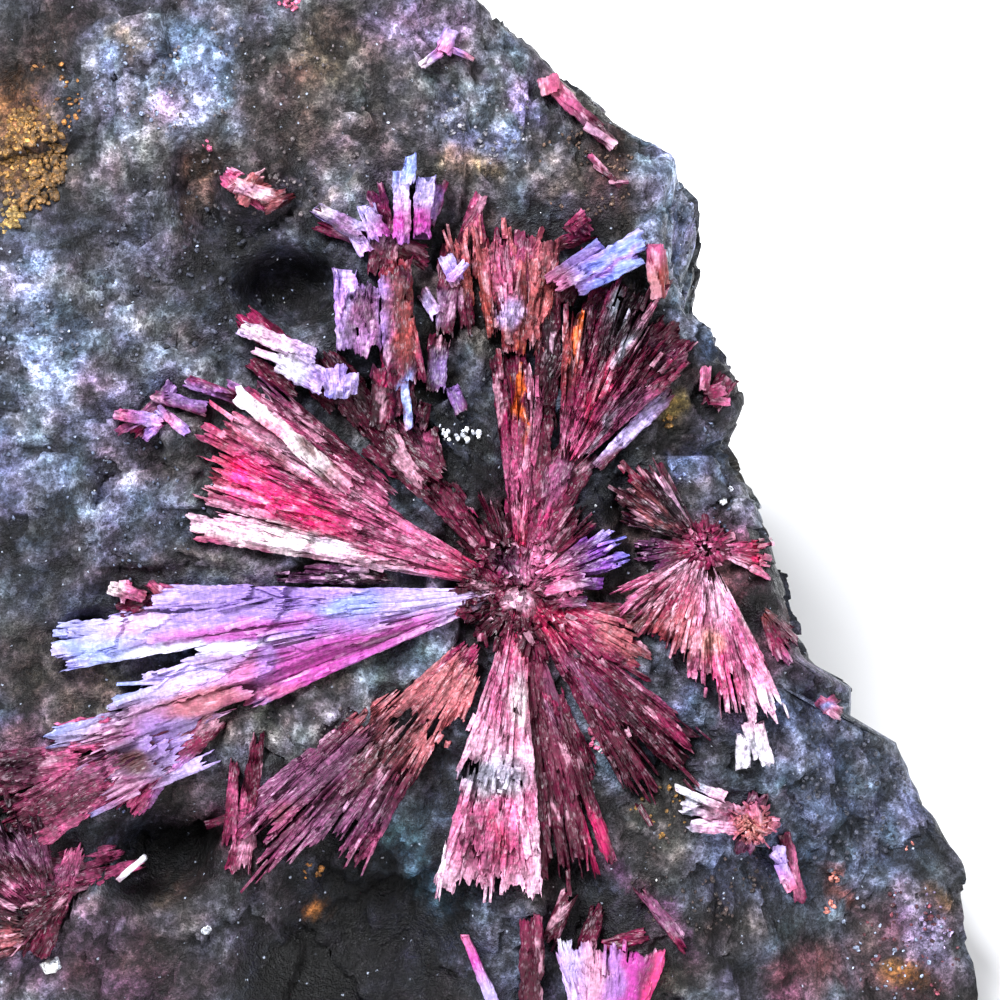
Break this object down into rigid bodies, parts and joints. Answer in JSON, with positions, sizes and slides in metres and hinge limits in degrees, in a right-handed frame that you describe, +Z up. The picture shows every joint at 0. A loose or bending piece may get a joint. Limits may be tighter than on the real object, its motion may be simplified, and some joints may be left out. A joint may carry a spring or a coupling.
{
  "type": "erythrite specimen on matrix rock",
  "caption": "Radiating sprays of crimson, pink and lilac erythrite blades lying on the broken, leaning face of a dark chunk of matrix rock that stands on a flat break.",
  "frame": {"origin": "centre of the object's box on the surface it stands on", "axes": "+Z up; the crystal face looks towards -Y and up; +X runs to the right along that face"},
  "size_m": [0.0565, 0.051, 0.0457],
  "materials": {
    "matrix": "rough broken rock",
    "crimson_blades": "vitreous to pearly, striated",
    "pink_blades": "vitreous to pearly, striated",
    "lilac_blades": "pearly, striated"
  },
  "bodies": {
    "root": {"matrix_rock": "matrix", "spray_hub": "pink_blades", "upper_left_fan": "pink_blades", "dark_small_fan": "crimson_blades", "left_fan": "lilac_blades", "lower_left_fan": "pink_blades", "bottom_fan": "pink_blades", "dark_bottom_blades": "crimson_blades", "lower_right_fan": "crimson_blades", "right_spurs": "lilac_blades", "top_fan": "crimson_blades", "upper_right_fan": "crimson_blades", "side_spray_upper": "crimson_blades", "side_spray_left": "crimson_blades", "side_spray_lower": "pink_blades", "side_spray_right": "pink_blades", "edge_patch": "pink_blades", "left_edge_cluster": "crimson_blades", "bottom_crystal": "lilac_blades", "violet_tablets": "lilac_blades", "lilac_column": "lilac_blades", "pale_tablets": "lilac_blades", "rock_lilac_crystal": "lilac_blades", "red_knot": "crimson_blades", "red_brown_lump": "crimson_blades", "top_small_crystal": "lilac_blades", "rim_needles": "crimson_blades", "rim_thin_needle": "crimson_blades", "rim_tuft": "crimson_blades", "rim_specimen": "crimson_blades", "left_tip_cluster": "lilac_blades", "left_tip_crystals": "pink_blades", "lower_right_tuft": "pink_blades", "lilac_beads": "lilac_blades", "cavity_needle": "lilac_blades", "bottom_dark_blade": "crimson_blades", "bottom_small_blade": "lilac_blades"}
  },
  "joints": []
}
